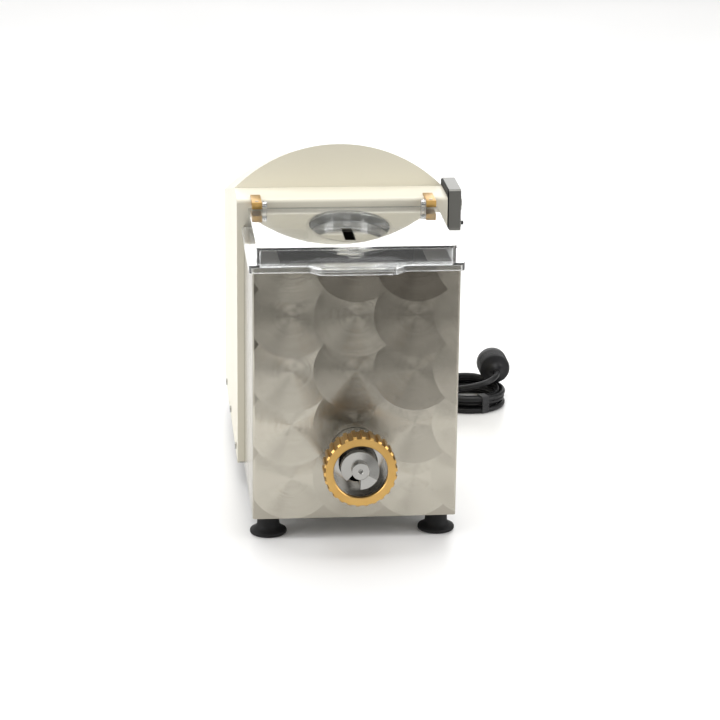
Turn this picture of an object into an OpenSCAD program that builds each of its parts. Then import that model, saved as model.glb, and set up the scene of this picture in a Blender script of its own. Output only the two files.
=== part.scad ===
// Electric pasta maker for the worktop: hopper with clear lid, extruder barrel with a brass ring nut,
// and a painted housing behind it that holds the gears and the motor.
// Millimetres, +Z up, front towards -Y. The origin lies on the worktop, under the middle of the machine.

/* [Hopper] */
// Width of the stainless hopper casing
hopper_w = 218; // [206:1:226]
// Depth of the hopper casing, from its front sheet to the housing
hopper_d = 175; // [168:1:190]
// Height of the hopper casing's sheet
hopper_h = 278; // [272:1:300]
// Thickness of the casing's sheet
casing_t = 1.2; // [0.8:0.1:2]
// Outer bend radius of the casing's front corners
casing_bend_r = 3; // [2.5:0.5:6]
// Wall of the mixing tub
tub_t = 1.5; // [1:0.1:2]
// Room between the hopper's front sheet and the tub
tub_front_gap = 3.3; // [2:0.1:8]
// Room behind the tub, where the barrel's flange and the seals sit
tub_rear_gap = 10.5; // [10.5:0.5:14]
// Depth of the tub's top plate below the casing's rim
tub_rim_drop = 6; // [5:0.5:12]
// Width of the feed chute between the tub and the barrel
chute_w = 30; // [20:1:31]
// Length of the feed chute
chute_l = 126; // [80:1:130]

/* [Lid] */
// Wall of the clear lid
lid_t = 3; // [2:0.25:4]
// Height of the lid's raised tray above the casing's rim
lid_h = 20; // [18:0.5:24]
// How far the lid's skirt hangs down over the casing
skirt_drop = 5.5; // [3:0.5:10]
// Setback of the tray's front wall behind the front sheet
tray_setback = 4; // [3.5:0.5:10]
// Setback of the tray's side walls inside the casing
tray_side_setback = 5; // [4:0.5:10]
// How far the finger grip stands out of the skirt
grip_out = 12; // [8:0.5:20]
// Width of the finger grip at its outer edge
grip_w = 78; // [50:1:110]
// Width of the oval pouring dish
dish_w = 86; // [70:1:96]
// Length of the pouring dish, from front to back
dish_l = 132; // [110:1:140]
// Depth of the pouring dish
dish_depth = 12; // [8:0.5:13]
// Distance from the tray's rear edge to the middle of the dish
dish_back = 80; // [76:1:84]
// Width of the pouring slot
slot_w = 11.5; // [8:0.5:14]
// Length of the pouring slot
slot_l = 60; // [50:1:64]
// Width of the small lug on the tray's front wall
lug_w = 15.5; // [10:0.5:20]

/* [Hinge] */
// Radius of the hinge pins
hinge_pin_r = 2; // [1.5:0.1:2.2]
// Radius of the lid's ears round a hinge pin
ear_r = 4.2; // [3.5:0.1:4.5]
// Height of the hinge axis above the tray's top
hinge_above_lid = 7; // [6.5:0.25:7.5]
// Distance of the hinge axis in front of the housing
hinge_forward = 17.5; // [16:0.5:18]
// Distance of each brass block in from the housing's side
hinge_inset = 21; // [19.5:0.5:31.5]
// Width of a brass hinge block
hinge_block_w = 11; // [9:0.5:12]
// How far a brass hinge block reaches below the hinge axis
hinge_block_drop = 3.5; // [3:0.25:4]
// Length of a hinge block's foot on the ledge
hinge_foot_l = 14; // [12:0.5:18]

/* [Barrel] */
// Height of the barrel's axis above the worktop
barrel_z = 98; // [96:0.5:100]
// Outer radius of the barrel
barrel_r = 27.5; // [26:0.25:28]
// Radius of the barrel's bore
bore_r = 20.5; // [19.5:0.25:22]
// How far the barrel's mouth stands out of the front sheet
barrel_out = 57; // [54:0.5:66]
// Radius of the barrel's threaded head
head_r = 33.8; // [33:0.1:34.5]
// Length of the threaded head
head_l = 24; // [22:0.5:30]
// Radius of the seat for the die
die_seat_r = 28.5; // [27:0.25:29]
// Depth of the seat for the die
die_seat_l = 22; // [16:0.5:24]
// Radius of the barrel's rear flange
flange_r = 40; // [38:0.5:42]
// Thickness of the barrel's rear flange
flange_t = 6; // [5:0.5:7]

/* [Ring nut] */
// Outer radius of the ring nut
ring_r = 38.5; // [38:0.25:42]
// Length of the ring nut
ring_l = 25; // [24:0.5:30]
// Thickness of the ring nut's front lip
ring_lip_t = 6; // [4:0.5:7]
// Number of notches round the ring nut
ring_notches = 26; // [20:1:32]
// Depth of a notch
notch_depth = 2; // [1:0.25:2.5]

/* [Auger] */
// Outer radius of the auger's flight
auger_r = 19.7; // [18:0.1:19.9]
// Radius of the auger's core
auger_core_r = 9.5; // [8.5:0.25:11]
// Length of the auger
auger_l = 194; // [185:1:205]
// Lead of the auger's flight in one turn
auger_lead = 36; // [30:1:50]
// How far the auger stands forward of its working place
auger_float = 16; // [10:1:18]
// Width of the square that drives the auger
drive_square = 9; // [8:0.25:10]

/* [Mixer] */
// Radius of the mixing shaft
mixer_shaft_r = 7; // [6:0.25:8]
// Number of paddles on the mixing shaft
paddle_count = 4; // [2:1:5]
// Room between the paddles' tips and the tub
paddle_gap = 5; // [4:0.5:12]
// Radius of a paddle's arm
paddle_arm_r = 5; // [4:0.5:6]
// Width of a paddle's blade
paddle_blade_w = 24; // [16:1:26]
// Tilt of a paddle's blade
paddle_tilt = 35; // [0:5:60]

/* [Housing] */
// Width of the painted housing
housing_w = 233; // [226:1:245]
// Length of the housing behind the hopper
housing_l = 310; // [306:1:330]
// Sheet thickness of the housing
housing_t = 2; // [1.5:0.25:3]
// Height of the ledge above the hopper casing's rim
ledge_rise = 29; // [26:0.5:36]
// Depth of the ledge in front of the arched face
ledge_d = 54; // [48:1:64]
// Rise of the arch above the ledge
arch_rise = 49; // [40:1:60]
// Slope of the hood towards the rear, in degrees
hood_slope = 14; // [8:1:15]
// Radius of the fold between the front wall and the ledge
ledge_fold_r = 4; // [3:0.5:8]
// Number of vent slots in the rear panel
vent_count = 8; // [4:1:9]

/* [Base] */
// Thickness of the base plate
base_t = 2; // [1.5:0.25:3]
// Height of the rubber feet
foot_h = 24; // [20:0.5:26]
// Radius of a foot's flared base
foot_r = 19.8; // [17:0.1:22]
// Radius of a foot's shank
foot_shank_r = 12; // [9:0.25:13]
// Distance of the feet from the middle of the machine
foot_x = 91; // [80:1:94]
// Distance of the front feet behind the front sheet
foot_inset = 24; // [23:1:40]

/* [Gears] */
// Module of the auger, mixer and pinion teeth
slow_module = 2; // [1.95:0.05:2.05]
// Teeth of the auger gear
auger_teeth = 48; // [46:1:50]
// Teeth of the mixer gear
mixer_teeth = 60; // [58:1:62]
// Teeth of the reduction pinion
pinion_teeth = 15; // [14:1:16]
// Module of the motor's first gear stage
fast_module = 1.25; // [1.2:0.05:1.3]
// Teeth of the large reduction gear
reduction_teeth = 72; // [68:1:74]
// Teeth of the motor pinion
motor_teeth = 14; // [14:1:16]
// Direction from the auger's axis to the reduction shaft, in degrees above level
reduction_angle = 25; // [20:1:30]
// Face width of the gears
gear_w = 16; // [12:0.5:18]

/* [Motor] */
// Radius of the motor's body
motor_r = 56; // [50:0.5:58]
// Length of the motor's body
motor_l = 130; // [110:1:134]
// Distance of the motor's axis from the middle of the machine
motor_x = 25; // [20:0.5:27]
// Radius of the cooling fan
fan_r = 46; // [36:0.5:50]

/* [Controls] */
// Length of the control box
control_l = 63; // [60:1:70]
// Height of the control box
control_h = 47; // [44:1:52]
// Thickness of the control box
control_t = 13.5; // [12:0.5:18]
// Radius of a push-button's cap
button_r = 6; // [5:0.25:6.5]
// Travel of a push-button
button_travel = 3; // [2:0.25:3]
// Travel of the small reset button
reset_travel = 2; // [1:0.25:2.5]

/* [Lead] */
// Diameter of the mains lead
lead_d = 7; // [6:0.5:7.5]
// Height of the cable gland above the worktop
gland_z = 58; // [54:1:62]

/* [Hidden] */
$fn = 64;

// Clearances
slip = 0.3;            // between pieces that only sit side by side
run = 0.06;            // radial, of a shaft in its bearing
join = 0.02;           // overlap that welds two primitives of one piece

// Heights
base_z = foot_h;
floor_z = base_z + base_t;
rim_z = base_z + hopper_h;
lid_z = rim_z + slip;
tray_top = rim_z + lid_h;
ledge_z = rim_z + ledge_rise;
apex_z = ledge_z + arch_rise;

// Places along the machine
wall_y = hopper_d;
case_y = wall_y + housing_t;
arch_y = wall_y + ledge_d;
rear_y = wall_y + housing_l;
mouth_y = -barrel_out;
ring_y = mouth_y - ring_lip_t - 1;
hinge_y = wall_y - hinge_forward;
hinge_z = tray_top + hinge_above_lid;
hinge_x = housing_w / 2 - hinge_inset;

// Gear train
mixer_z = barrel_z + slow_module * (auger_teeth + mixer_teeth) / 2;
reduction_centres = slow_module * (auger_teeth + pinion_teeth) / 2;
reduction_x = reduction_centres * cos(reduction_angle);
reduction_z = barrel_z + reduction_centres * sin(reduction_angle);
fast_centres = fast_module * (reduction_teeth + motor_teeth) / 2;
motor_z = reduction_z + sqrt(pow(fast_centres, 2) - pow(reduction_x - motor_x, 2));
motor_angle = atan2(motor_z - reduction_z, motor_x - reduction_x);
gear_wall = 6;
gear_room = 3;
slow_y = case_y + gear_wall + 7;
fast_y = slow_y + gear_w + 8;
cover_y = fast_y + gear_w + 10;
cover_t = 8;
motor_y = cover_y + cover_t;
auger_shaft_r = 10;
reduction_shaft_r = 8;
motor_shaft_r = 6;
bearing_wall = 6;

// Tub, between the casing and the barrel
tub_barrel_gap = 1;
tub_r = mixer_z - barrel_z - barrel_r - tub_t - tub_barrel_gap;
tub_y0 = casing_t + tub_front_gap;
tub_y1 = wall_y - tub_rear_gap;
tub_top = rim_z - tub_rim_drop;
chute_y0 = (tub_y0 + tub_y1 - chute_l) / 2;
chute_z = barrel_z + sqrt(pow(bore_r, 2) - pow(chute_w / 2, 2)) + 1;

// Auger
auger_y = ring_y + 2;
auger_rear = auger_y + auger_l;
socket_l = auger_float + 16;
shaft_front = auger_rear + auger_float + 2;

// Arched hood: a cylinder that leans back by the slope, so that its upright section is a little taller
arch_drop = arch_rise * cos(hood_slope);
hood_r = (pow(housing_w / 2, 2) + pow(arch_drop, 2)) / (2 * arch_drop);
hood_z = apex_z - hood_r / cos(hood_slope);

// Motor
flange_bell_l = 12;
bell_l = 18;
cowl_l = 34;
fan_gap = 5;
fan_l = 15;
fan_hub_t = 6;
fan_disc_t = 2;
fan_blades = 7;
bracket_back = 50;
bracket_l = 40;
bracket_w = 76;
bracket_wall = 8;
motor_end = motor_y + flange_bell_l + motor_l;

// Upright lips of the cover that hold the rear panel's screws
panel_lip_w = 22;
panel_lip_h = 190;

// Controls
gasket_t = 1.5;
box_x = housing_w / 2 + gasket_t;
box_face = box_x + control_t;
box_y = wall_y;
box_z = ledge_z + 8 - control_h;
button_z = box_z + control_h * 0.62;
button_pitch = 18;
button_y = [for (i = [0:2]) box_y + 14 + i * button_pitch];
bezel_w = 2.5;
bezel_out = 1.8;
reset_r = 2.2;
reset_out = 2.7;
reset_y = box_y + 13;
reset_z = box_z + 6.5;
contact_d = 14;
reset_block_d = 8;
contact_places = concat([for (y = button_y) [y, button_z, contact_d]], [[reset_y, reset_z, reset_block_d]]);
contact_x0 = housing_w / 2 - 14;
contact_x1 = box_x + 1;

// Lead: the route's points, chosen by hand, from the gland down to the worktop and into the coil
gland_inset = 36.5;
gland_x = housing_w / 2 - gland_inset;
gland_l = 36;
gland_r = 8;
lead_route = [
    [80, 521, 58], [80, 533, 57], [80, 552, 52.5], [84, 567.5, 46.5], [95.5, 579, 39],
    [111, 583, 31], [126.5, 579, 22.5], [138, 567.5, 15], [142, 552, 9], [142, 536, 5],
    [142, 520, 3.5], [142, 506, 3.5], [142, 492, 3.5], [142, 476, 3.5], [142, 460, 3.5]];
tail_route = [
    [172, 476, 24.5], [157, 465.5, 24.5], [149.5, 449, 24.5], [151, 431, 25], [161.5, 416, 27.5],
    [178, 408.5, 31.5], [190.5, 408.5, 34.2], [202.5, 412.2, 36.5], [213.8, 423.5, 39.1],
    [217.5, 433.5, 39.9], [218, 439, 40]];
lead_sides = 10;
lead_steps = 2;
coil_x = 184;
coil_y = 443;
coil_inner = 31.5;
coil_outer = 45.5;
coil_h = 21;
plug_r = 19;
plug_l = 38;
plug_nose_l = 12;
plug_x = 218;
plug_y = 439;
plug_z = coil_h + plug_r;
pin_r = 2.4;
pin_l = 19;
pin_pitch = 19;

// Middle of the machine, without its lead, which is the origin
screw_head_t = 2;
mid_x = (box_face + bezel_out + reset_out - housing_w / 2 - screw_head_t) / 2;
mid_y = (ring_y + rear_y + screw_head_t) / 2;

cream = "#ddd6c0";
stainless = "#b9b8b4";
gear_steel = "#8d9094";
cast_grey = "#a2a5a8";
brass = "#c79a4b";
black = "#1c1c1e";

module placed() {
    translate([-mid_x, -mid_y, 0]) children();
}

// A box given by its lowest and highest corners
module span(a, b) {
    translate(a) cube(b - a);
}

// A round bar or disc along Y, from y0 to y1
module rod(x, z, r, y0, y1) {
    translate([x, y1, z]) rotate([90, 0, 0]) cylinder(r = r, h = y1 - y0);
}

module tube(x, z, r_out, r_in, y0, y1) {
    difference() {
        rod(x, z, r_out, y0, y1);
        rod(x, z, r_in, y0 - 1, y1 + 1);
    }
}

// A bar along X, from x0 to x1
module crossbar(y, z, r, x0, x1) {
    translate([x0, y, z]) rotate([0, 90, 0]) cylinder(r = r, h = x1 - x0);
}

// A box with its upright edges rounded
module upright_block(a, b, r) {
    span([a[0] + r, a[1], a[2]], [b[0] - r, b[1], b[2]]);
    span([a[0], a[1] + r, a[2]], [b[0], b[1] - r, b[2]]);
    for (x = [a[0] + r, b[0] - r], y = [a[1] + r, b[1] - r])
        translate([x, y, a[2]]) cylinder(r = r, h = b[2] - a[2]);
}

// A box with the edges along X rounded
module long_block(a, b, r) {
    span([a[0], a[1] + r, a[2]], [b[0], b[1] - r, b[2]]);
    span([a[0], a[1], a[2] + r], [b[0], b[1], b[2] - r]);
    for (y = [a[1] + r, b[1] - r], z = [a[2] + r, b[2] - r])
        crossbar(y, z, r, a[0], b[0]);
}

// Hexagon-head screw along Y with its head in front, at y
module hex_bolt(x, z, y, d, l) {
    rod(x, z, d / 2, y, y + l);
    translate([x, y, z]) rotate([90, 0, 0]) cylinder(d = d * 1.8, h = d * 0.65, $fn = 6);
}

// Involute teeth: the angle that a flank turns through between the base circle and radius r
function roll(base, r) = let (a = acos(min(1, base / r))) tan(a) * 180 / PI - a;
function half_tooth(n, m, r) =
    let (pitch = m * n / 2, base = pitch * cos(20))
    90 / n - 3 / n + roll(base, pitch) - roll(base, max(r, base));
// Where a tooth of the second gear stands, so that it meshes with the first in the given direction
function mesh(angle, phase, n1, n2) = angle + 180 - 180 / n2 + (angle - phase) * n1 / n2;
function polar(r, a) = [r * cos(a), r * sin(a)];
function gear_outline(n, m, phase) =
    let (pitch = m * n / 2, radii = [pitch - 1.15 * m, pitch - 0.45 * m, pitch + 0.15 * m, pitch + 0.8 * m])
    [for (i = [0:n - 1]) let (c = phase + i * 360 / n)
        for (k = [0:7]) let (r = radii[k < 4 ? k : 7 - k], side = k < 4 ? -1 : 1)
            polar(r, c + side * half_tooth(n, m, r))];

module gear(x, z, n, m, phase, y0, bore) {
    difference() {
        translate([x, y0 + gear_w, z]) rotate([90, 0, 0])
            linear_extrude(height = gear_w) polygon(gear_outline(n, m, phase));
        rod(x, z, bore, y0 - 1, y0 + gear_w + 1);
    }
}

// ---------------------------------------------------------------- base and feet

module foot_places() {
    for (x = [-foot_x, foot_x], y = [foot_inset, rear_y - foot_inset]) translate([x, y, 0]) children();
}

module base_plate() color(stainless) {
    difference() {
        union() {
            span([-hopper_w / 2 + casing_t + slip, casing_t + slip, base_z],
                [hopper_w / 2 - casing_t - slip, case_y + 1, floor_z]);
            span([-housing_w / 2 + housing_t + slip, case_y, base_z],
                [housing_w / 2 - housing_t - slip, rear_y - housing_t - slip, floor_z]);
            for (side = [-1, 1]) {
                edge = side * (housing_w / 2 - housing_t - slip);
                span([min(edge, edge - side * base_t), case_y + 10, floor_z - join],
                    [max(edge, edge - side * base_t), rear_y - 20, floor_z + 20]);
            }
        }
        foot_places() translate([0, 0, base_z - 1]) cylinder(r = 3.2, h = base_t + 2);
        cover_screw_places() rotate([0, 90, 0]) translate([0, 0, -10]) cylinder(r = 2, h = 12);
    }
}

module feet() color(black) foot_places() {
    rotate_extrude() polygon([
        [0, 0], [foot_r - 1, 0], [foot_r, 1.2], [foot_r, 3.4], [foot_r - 2, 4.8],
        [foot_shank_r + 2, 6.6], [foot_shank_r, 9], [foot_shank_r, foot_h], [0, foot_h]]);
    translate([0, 0, foot_h - join]) cylinder(r = 3, h = base_t + 4);
}

// ---------------------------------------------------------------- hopper

module hopper_casing() color(stainless) difference() {
    upright_block([-hopper_w / 2, 0, base_z],
        [hopper_w / 2, wall_y + casing_bend_r + 5, rim_z], casing_bend_r);
    upright_block([-hopper_w / 2 + casing_t, casing_t, base_z - 1],
        [hopper_w / 2 - casing_t, wall_y + casing_bend_r + 9, rim_z + 1], casing_bend_r - casing_t);
    span([-hopper_w, wall_y, base_z - 2], [hopper_w, wall_y + 20, rim_z + 2]);
    rod(0, barrel_z, barrel_r + slip, -1, casing_t + 1);
}

// The U of the tub, as a solid that is larger by grow
module tub_form(grow, y0, y1, top) {
    intersection() {
        rod(0, mixer_z, tub_r + grow, y0, y1);
        span([-tub_r - grow - 1, y0 - 1, mixer_z - tub_r - grow - 1], [tub_r + grow + 1, y1 + 1, top]);
    }
    span([-tub_r - grow, y0, mixer_z], [tub_r + grow, y1, top]);
}

module mixing_tub() color(stainless) difference() {
    union() {
        tub_form(tub_t, tub_y0, tub_y1, tub_top);
        span([-hopper_w / 2 + casing_t + slip, casing_t + slip, tub_top - tub_t],
            [hopper_w / 2 - casing_t - slip, wall_y - slip, tub_top]);
        span([-chute_w / 2 - tub_t, chute_y0 - tub_t, chute_z],
            [chute_w / 2 + tub_t, chute_y0 + chute_l + tub_t, mixer_z - tub_r + 5]);
    }
    tub_form(0, tub_y0 + tub_t, tub_y1 - tub_t, tub_top + 1);
    span([-chute_w / 2, chute_y0, chute_z - 1], [chute_w / 2, chute_y0 + chute_l, mixer_z]);
    rod(0, mixer_z, mixer_shaft_r + 1.5, tub_y1 - tub_t - 1, tub_y1 + 1);
    rod(0, barrel_z, bore_r, tub_y0, tub_y1);
}

module mixer_bush() color("ivory") difference() {
    rod(0, mixer_z, mixer_shaft_r + 6, tub_y0 + tub_t, tub_y0 + tub_t + 12);
    rod(0, mixer_z, mixer_shaft_r + run, tub_y0 + tub_t + 2, tub_y0 + tub_t + 13);
}

module shaft_seals() color(black) {
    tube(0, mixer_z, mixer_shaft_r + 5, mixer_shaft_r + run, tub_y1, wall_y + housing_t);
    tube(0, barrel_z, bore_r, auger_shaft_r + run, tub_y1 - 1, wall_y + housing_t);
}

// ---------------------------------------------------------------- barrel and ring nut

module extruder_barrel() color(stainless) difference() {
    union() {
        rod(0, barrel_z, barrel_r, mouth_y + 1, wall_y);
        rod(0, barrel_z, head_r, mouth_y, mouth_y + head_l);
        rod(0, barrel_z, flange_r, wall_y - flange_t, wall_y);
    }
    rod(0, barrel_z, bore_r, mouth_y - 1, wall_y + 1);
    rod(0, barrel_z, die_seat_r, mouth_y - 1, mouth_y + die_seat_l);
    span([-chute_w / 2 - tub_t - slip, chute_y0 - tub_t - slip, barrel_z + 1],
        [chute_w / 2 + tub_t + slip, chute_y0 + chute_l + tub_t + slip, barrel_z + barrel_r + 1]);
    barrel_bolt_places() rod(0, 0, 3, wall_y - flange_t - 1, wall_y + 1);
}

module barrel_bolt_places() {
    bolt_circle_r = (barrel_r + flange_r) / 2;
    for (a = [45:90:315])
        translate([bolt_circle_r * cos(a), 0, barrel_z + bolt_circle_r * sin(a)]) children();
}

module barrel_bolts() color(gear_steel) barrel_bolt_places()
    hex_bolt(0, 0, wall_y - flange_t, 5.8, flange_t + housing_t + gear_wall);

module ring_nut() color(brass) {
    tooth_w = 2 * PI * ring_r / ring_notches * 0.62;
    difference() {
        union() {
            rod(0, barrel_z, ring_r - notch_depth, ring_y, ring_y + ring_l);
            intersection() {
                rod(0, barrel_z, ring_r, ring_y, ring_y + ring_l);
                for (i = [0:ring_notches - 1])
                    translate([0, 0, barrel_z]) rotate([0, i * 360 / ring_notches, 0])
                        span([-tooth_w / 2, ring_y, ring_r / 2], [tooth_w / 2, ring_y + ring_l, ring_r + 1]);
            }
        }
        rod(0, barrel_z, die_seat_r, ring_y - 1, ring_y + ring_l);
        rod(0, barrel_z, head_r + run, ring_y + ring_lip_t, ring_y + ring_l + 1);
    }
}

module die_washer() color("dimgray")
    tube(0, barrel_z, head_r - slip, die_seat_r + slip, ring_y + ring_lip_t + 0.05, mouth_y - 0.15);

// ---------------------------------------------------------------- auger

// Cross-section of the auger: a round core with one flight over part of the circle
flight_angle = 110;
function auger_section() = concat(
    [for (i = [0:8]) polar(auger_r, i * flight_angle / 8)],
    [for (i = [0:9]) polar(auger_core_r, flight_angle + 6 + i * (348 - flight_angle) / 9)]);

module auger() color(stainless) difference() {
    translate([0, auger_rear, barrel_z]) rotate([90, 0, 0])
        linear_extrude(height = auger_l, twist = 360 * auger_l / auger_lead, slices = round(auger_l / 2.6))
            polygon(auger_section());
    rod(0, barrel_z, 2, auger_y - 1, auger_y + 8);
    span([-drive_square / 2 - 0.15, auger_rear - socket_l, barrel_z - drive_square / 2 - 0.15],
        [drive_square / 2 + 0.15, auger_rear + 1, barrel_z + drive_square / 2 + 0.15]);
}

module auger_shaft() color(gear_steel) {
    span([-drive_square / 2, auger_rear - 14, barrel_z - drive_square / 2],
        [drive_square / 2, shaft_front + 1, barrel_z + drive_square / 2]);
    rod(0, barrel_z, auger_shaft_r, shaft_front, motor_y - 1);
    rod(0, barrel_z, auger_shaft_r + 4, slow_y + gear_w, cover_y - 8.5);
}

module auger_gear() color(gear_steel)
    gear(0, barrel_z, auger_teeth, slow_module, 90, slow_y, auger_shaft_r);

// ---------------------------------------------------------------- mixer

mixer_y0 = tub_y0 + tub_t + 2.5;
paddle_pitch = (tub_y1 - tub_y0 - 30) / paddle_count;
paddle_tip = tub_r - paddle_gap;

module mixer_shaft() color(stainless)
    rod(0, mixer_z, mixer_shaft_r, mixer_y0, motor_y - 1);

module mixer_paddles() color(stainless) {
    for (i = [0:paddle_count - 1]) {
        y = tub_y0 + 22 + paddle_pitch * (i + 0.5);
        side = i % 2 == 0 ? 1 : -1;
        translate([0, y, mixer_z]) difference() {
            union() {
                rod(0, 0, mixer_shaft_r + 4, -8, 8);
                rotate([0, 0, side > 0 ? 0 : 180]) {
                    crossbar(0, 0, paddle_arm_r, mixer_shaft_r + 2, paddle_tip - 12);
                    rotate([paddle_tilt, 0, 0])
                        span([paddle_tip - 32, -paddle_blade_w / 2, -2],
                            [paddle_tip - 4, paddle_blade_w / 2, 2]);
                }
            }
            rod(0, 0, mixer_shaft_r, -9, 9);
        }
    }
}

module mixer_gear() color(gear_steel)
    gear(0, mixer_z, mixer_teeth, slow_module, mesh(90, 90, auger_teeth, mixer_teeth), slow_y, mixer_shaft_r);

// ---------------------------------------------------------------- reduction and gearbox

module reduction_shaft() color(gear_steel)
    rod(reduction_x, reduction_z, reduction_shaft_r, case_y + 1, motor_y - 1);

module reduction_pinion() color(gear_steel)
    gear(reduction_x, reduction_z, pinion_teeth, slow_module,
        mesh(reduction_angle, 90, auger_teeth, pinion_teeth), slow_y, reduction_shaft_r);

module reduction_gear() color(gear_steel)
    gear(reduction_x, reduction_z, reduction_teeth, fast_module, motor_angle, fast_y, reduction_shaft_r);

// The hollow that holds the gears, larger by grow
module gear_chamber(grow, y0, y1) {
    tip = slow_module + gear_room + grow;
    rod(0, mixer_z, slow_module * mixer_teeth / 2 + tip, y0, y1);
    rod(0, barrel_z, slow_module * auger_teeth / 2 + tip, y0, y1);
    rod(reduction_x, reduction_z, fast_module * reduction_teeth / 2 + 1 + gear_room + grow, y0, y1);
    side = slow_module * auger_teeth / 2 + tip;
    span([-side, y0, barrel_z], [side, y1, mixer_z]);
}

module gearbox_case() color(cast_grey) difference() {
    union() {
        gear_chamber(gear_wall, case_y, cover_y);
        span([-40, case_y + 3, floor_z], [reduction_x + 25, cover_y - 4, barrel_z - 15]);
    }
    gear_chamber(0, case_y + gear_wall, cover_y + 1);
    bearing_seats(case_y - 1, case_y + gear_wall + 1);
    barrel_bolt_places() rod(0, 0, 2.9, case_y - 1, case_y + gear_wall + 1);
    gearbox_bolt_places() rod(0, 0, 2, cover_y - 10, cover_y + 1);
}

module bearing_seats(y0, y1) {
    rod(0, barrel_z, auger_shaft_r + bearing_wall, y0, y1);
    rod(0, mixer_z, mixer_shaft_r + bearing_wall, y0, y1);
    rod(reduction_x, reduction_z, reduction_shaft_r + bearing_wall, y0, y1);
}

module gearbox_cover() color(cast_grey) difference() {
    gear_chamber(gear_wall, cover_y, cover_y + cover_t);
    bearing_seats(cover_y - 1, cover_y + cover_t + 1);
    rod(motor_x, motor_z, motor_shaft_r + 5, cover_y - 1, cover_y + cover_t + 1);
    gearbox_bolt_places() rod(0, 0, 2, cover_y - 1, cover_y + cover_t + 1);
}

// Bolts stand in the case's wall, round the mixer gear and beside the auger gear
module gearbox_bolt_places() {
    wall_r = slow_module * (mixer_teeth / 2 + 1) + gear_room + gear_wall / 2;
    for (a = [0, 45, 90, 135, 180]) translate([wall_r * cos(a), 0, mixer_z + wall_r * sin(a)]) children();
    for (a = [200, 250]) translate([(wall_r - 12) * cos(a), 0, barrel_z + (wall_r - 12) * sin(a)]) children();
}

module gearbox_bolts() color(gear_steel) gearbox_bolt_places()
    translate([0, cover_y + cover_t, 0]) rotate([0, 0, 180]) hex_bolt(0, 0, 0, 4, cover_t + 9);

module bearing_pair(x, r) {
    translate([x, 0, 0]) {
        tube(0, 0, r + bearing_wall, r + run, case_y + 0.5, case_y + gear_wall);
        tube(0, 0, r + bearing_wall, r + run, cover_y, cover_y + cover_t);
    }
}

module gearbox_bearings() color("silver") {
    translate([0, 0, barrel_z]) bearing_pair(0, auger_shaft_r);
    translate([0, 0, mixer_z]) bearing_pair(0, mixer_shaft_r);
    translate([0, 0, reduction_z]) bearing_pair(reduction_x, reduction_shaft_r);
}

module thrust_bearing() color("silver")
    tube(0, barrel_z, auger_shaft_r + 9, auger_shaft_r + run, cover_y - 8, cover_y);

// ---------------------------------------------------------------- motor

module motor_pinion() color(gear_steel)
    gear(motor_x, motor_z, motor_teeth, fast_module,
        mesh(motor_angle, motor_angle, reduction_teeth, motor_teeth), fast_y, motor_shaft_r - 1);

module motor_shaft() color(gear_steel) {
    rod(motor_x, motor_z, motor_shaft_r - 1, fast_y - 1, cover_y);
    rod(motor_x, motor_z, motor_shaft_r, cover_y - join, motor_end + bell_l + cowl_l - 10);
}

module motor_body() color(cast_grey) difference() {
    union() {
        rod(motor_x, motor_z, motor_r + 4, motor_y, motor_y + flange_bell_l);
        rod(motor_x, motor_z, motor_r, motor_y + flange_bell_l - join, motor_end);
    }
    rod(motor_x, motor_z, motor_shaft_r + run, motor_y - 1, motor_end + 1);
    gearbox_bolt_places() rod(0, 0, 5, motor_y - 1, motor_y + 4);
    for (p = [[0, barrel_z, auger_shaft_r], [reduction_x, reduction_z, reduction_shaft_r]])
        rod(p[0], p[1], p[2] + bearing_wall + 1, motor_y - 1, motor_y + 1);
}

module motor_end_bell() color(cast_grey)
    tube(motor_x, motor_z, motor_r - 2, motor_shaft_r + run, motor_end, motor_end + bell_l);

module motor_fan() color("gray") difference() {
    fan_y0 = motor_end + bell_l + fan_gap;
    fan_y1 = fan_y0 + fan_l;
    union() {
        rod(motor_x, motor_z, motor_shaft_r + fan_hub_t, fan_y0, fan_y1);
        rod(motor_x, motor_z, fan_r, fan_y1 - fan_disc_t, fan_y1);
        translate([motor_x, 0, motor_z]) for (i = [0:fan_blades - 1]) rotate([0, i * 360 / fan_blades, 0])
            span([-fan_disc_t / 2, fan_y0 + 1, motor_shaft_r + fan_hub_t / 2],
                [fan_disc_t / 2, fan_y1 - fan_disc_t / 2, fan_r - 2]);
    }
    rod(motor_x, motor_z, motor_shaft_r, motor_end, motor_end + bell_l + cowl_l);
}

module fan_cowl() color("dimgray") difference() {
    rod(motor_x, motor_z, motor_r, motor_end + bell_l - 8, motor_end + bell_l + cowl_l);
    rod(motor_x, motor_z, motor_r - 2, motor_end + bell_l - 9, motor_end + bell_l + cowl_l - 2);
    for (ring = [1:3], i = [0:7])
        rod(motor_x + ring * 13 * cos(i * 45), motor_z + ring * 13 * sin(i * 45), 3.5,
            motor_end + bell_l, motor_end + bell_l + cowl_l + 1);
}

// Cradle under the motor's body, with a way through between its two sides
module motor_bracket() color(gear_steel) difference() {
    half = bracket_w / 2;
    y0 = motor_y + bracket_back;
    y1 = y0 + bracket_l;
    span([motor_x - half, y0, floor_z], [motor_x + half, y1, motor_z - motor_r / 2]);
    rod(motor_x, motor_z, motor_r + run, motor_y, motor_end);
    span([motor_x - half + bracket_wall, y0 - 1, floor_z + 3],
        [motor_x + half - bracket_wall, y1 + 1, motor_z - motor_r - 3]);
}

cap_r = 17;
cap_l = 80;
cap_x = -housing_w / 2 + housing_t + cap_r + 12;
cap_y = motor_y + bracket_l;
cap_z = floor_z + cap_r + 6;
clip_l = 16;
clip_w = 28;
clip_t = 1.5;
clip_y0 = cap_y + (cap_l - clip_l) / 2;
clip_y1 = clip_y0 + clip_l;

module run_capacitor() color("ivory") rod(cap_x, cap_z, cap_r, cap_y, cap_y + cap_l);

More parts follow.
